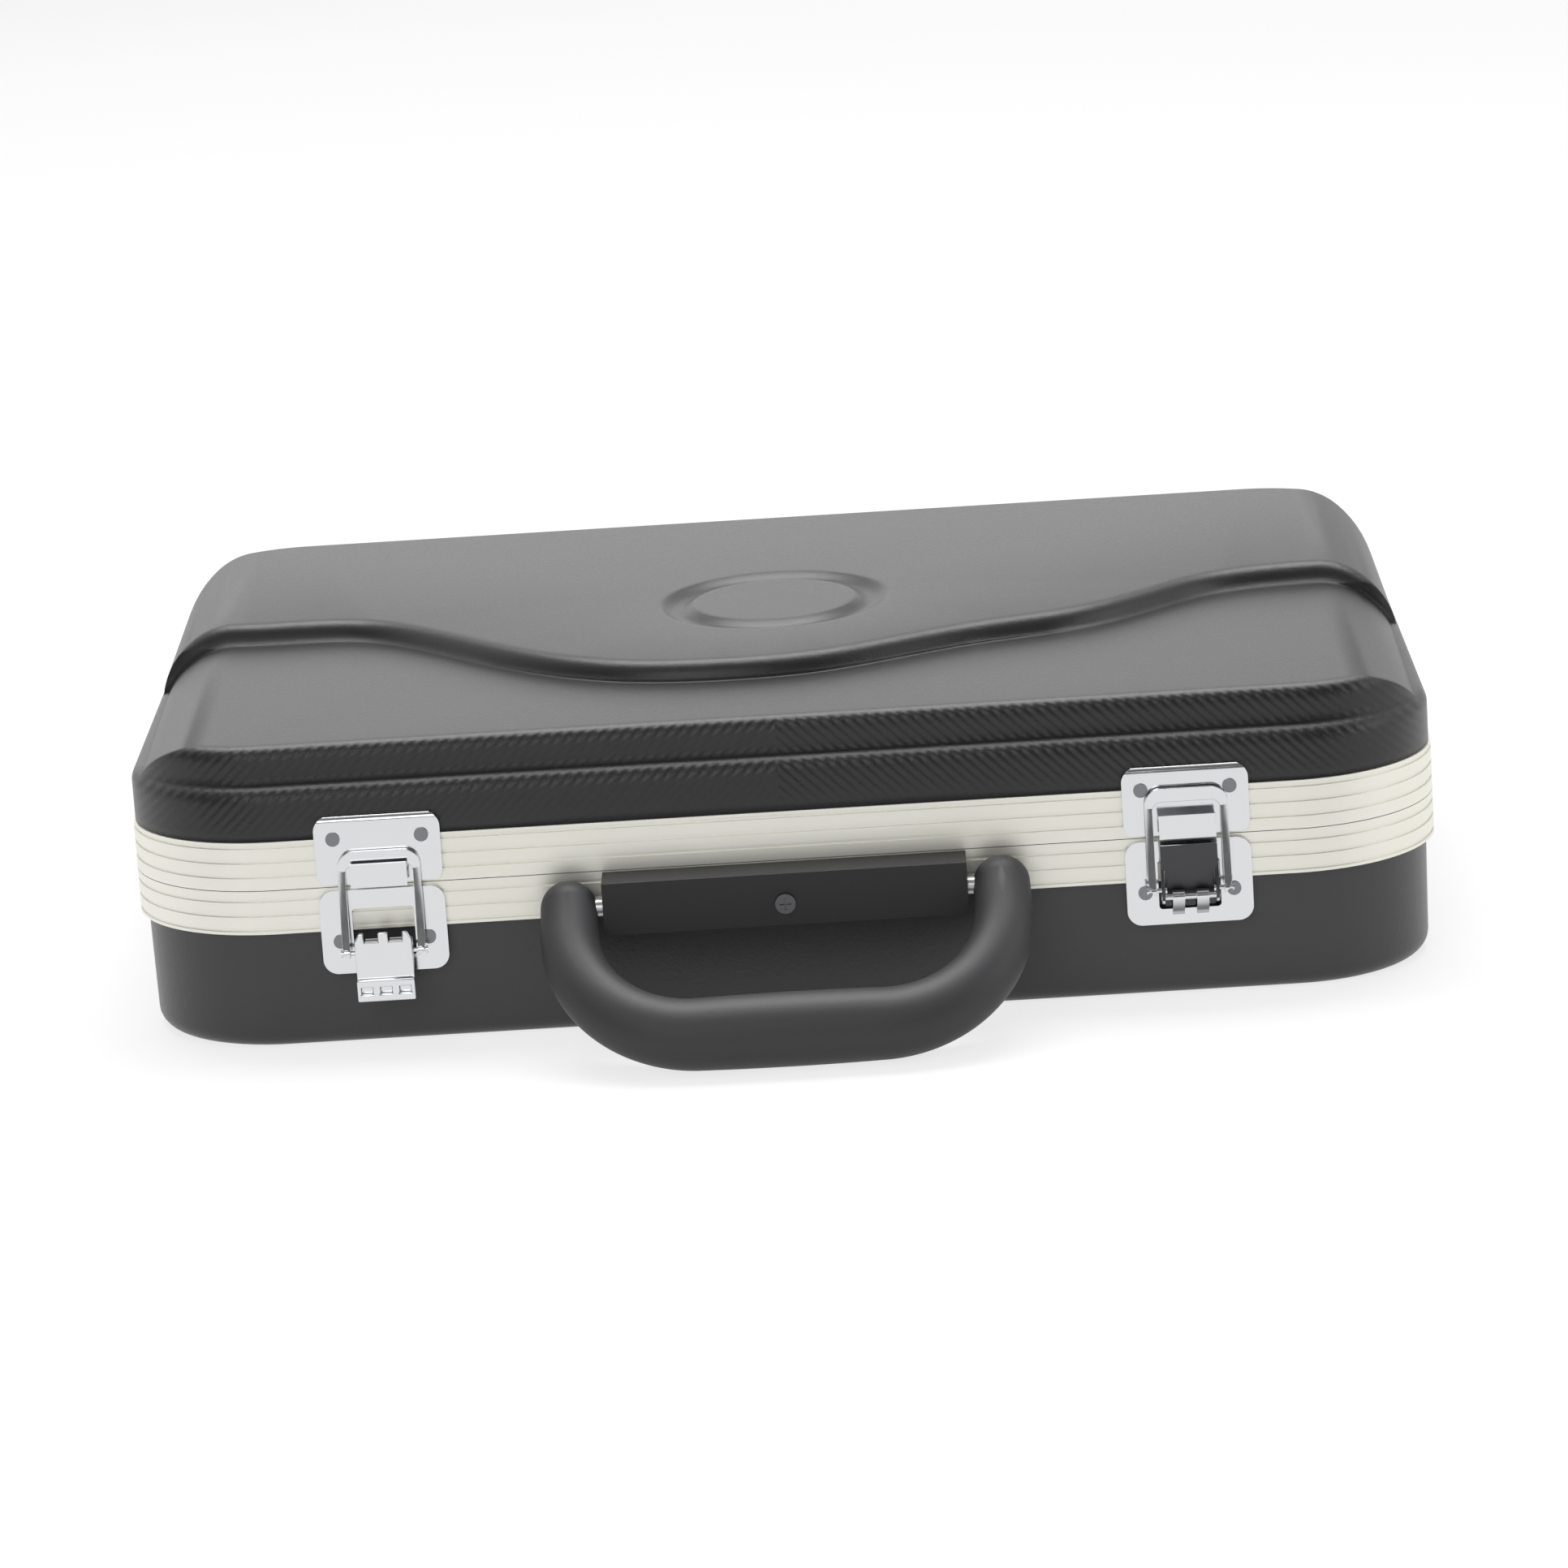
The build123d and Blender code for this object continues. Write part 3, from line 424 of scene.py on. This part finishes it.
# ------------------------------------------------------------------ Floor, light and camera
# A plain pale floor with soft studio lamps above, in front and at the sides. The camera looks a
# little down on the case from in front, as in the photograph.
paper, output = new_material("White paper sweep")
path = node(paper, "ShaderNodeLightPath")
seen = node(paper, "ShaderNodeMath", {"operation": "MAXIMUM"}, in0=path.outputs["Is Camera Ray"], in1=path.outputs["Is Glossy Ray"])
floor_shader = node(paper, "ShaderNodeBsdfPrincipled", {"Base Color": srgb("#f4f4f4"), "Roughness": 0.9, "Specular IOR Level": 0.0})
glow = node(paper, "ShaderNodeEmission", {"Color": srgb("#ffffff")}, Strength=seen.outputs[0])
blend = node(paper, "ShaderNodeMixShader", {"Fac": 0.75}, in1=floor_shader.outputs[0], in2=glow.outputs[0])
paper.node_tree.links.new(blend.outputs[0], output.inputs["Surface"])
floor_mesh = bpy.data.meshes.new("floor")
shape = bmesh.new()
bmesh.ops.create_grid(shape, x_segments=1, y_segments=1, size=6.0)
shape.to_mesh(floor_mesh)
shape.free()
floor = bpy.data.objects.new("floor", floor_mesh)
scene.collection.objects.link(floor)
finish_with(floor, paper)

world = bpy.data.worlds.new("Studio")
scene.world = world
world.use_nodes = True
sky = world.node_tree.nodes["Background"]
sky.inputs["Color"].default_value = srgb("#ffffff")
sky_path = world.node_tree.nodes.new("ShaderNodeLightPath")
heading = world.node_tree.nodes.new("ShaderNodeTexCoord")
heading_split = world.node_tree.nodes.new("ShaderNodeSeparateXYZ")
room = world.node_tree.nodes.new("ShaderNodeMapRange")
room.inputs["From Min"].default_value = -0.55
room.inputs["From Max"].default_value = 0.25
room.inputs["To Min"].default_value = 0.12
room.inputs["To Max"].default_value = 1.0
world.node_tree.links.new(heading.outputs["Generated"], heading_split.inputs[0])
world.node_tree.links.new(heading_split.outputs["Y"], room.inputs["Value"])
sky_gloss = world.node_tree.nodes.new("ShaderNodeMix")
sky_gloss.inputs["A"].default_value = 0.5
sky_level = world.node_tree.nodes.new("ShaderNodeMix")
sky_level.inputs["B"].default_value = 1.0
world.node_tree.links.new(sky_path.outputs["Is Glossy Ray"], sky_gloss.inputs["Factor"])
world.node_tree.links.new(room.outputs[0], sky_gloss.inputs["B"])
world.node_tree.links.new(sky_path.outputs["Is Camera Ray"], sky_level.inputs["Factor"])
world.node_tree.links.new(sky_gloss.outputs[0], sky_level.inputs["A"])
world.node_tree.links.new(sky_level.outputs[0], sky.inputs["Strength"])


def lamp(name, spot, target, size, power):
    """A square soft box at spot, facing target."""
    data = bpy.data.lights.new(name, "AREA")
    data.shape = "RECTANGLE"
    data.size, data.size_y = size
    data.energy = power
    made = bpy.data.objects.new(name, data)
    made.location = spot
    made.rotation_euler = (Vector(target) - Vector(spot)).to_track_quat("-Z", "Y").to_euler()
    scene.collection.objects.link(made)
    return made


lamp("Top soft box", (0.0, 0.5, 1.6), (0.0, 0.0, 0.05), (1.6, 0.8), 30.0)
lamp("Front soft box", (-0.5, -1.8, 0.9), (0.0, 0.0, 0.05), (1.2, 1.0), 9.0)
lamp("Side soft box", (1.6, -0.6, 0.7), (0.0, 0.0, 0.05), (0.8, 0.9), 5.0)
lamp("Back soft box", (-0.5, 2.0, 0.7), (0.0, 0.0, 0.07), (2.0, 0.6), 2.6)

camera_target = Vector((0.0, 0.0, 0.045))
camera_distance = 1.8154
camera_elevation = math.radians(14.18)
camera_side = math.radians(1.0)
camera_roll = math.radians(-3.72)
away = Vector(
    (
        math.sin(camera_side) * math.cos(camera_elevation),
        -math.cos(camera_side) * math.cos(camera_elevation),
        math.sin(camera_elevation),
    )
)
camera = bpy.data.objects.new("Camera", bpy.data.cameras.new("Camera"))
camera.data.lens = 148.77
camera.data.shift_y = -0.01726
camera.location = camera_target + away * camera_distance
facing = (-away).to_track_quat("-Z", "Y").to_matrix()
camera.rotation_euler = (facing @ Matrix.Rotation(camera_roll, 3, "Z")).to_euler()
scene.collection.objects.link(camera)
scene.camera = camera
scene.view_settings.view_transform = "Standard"
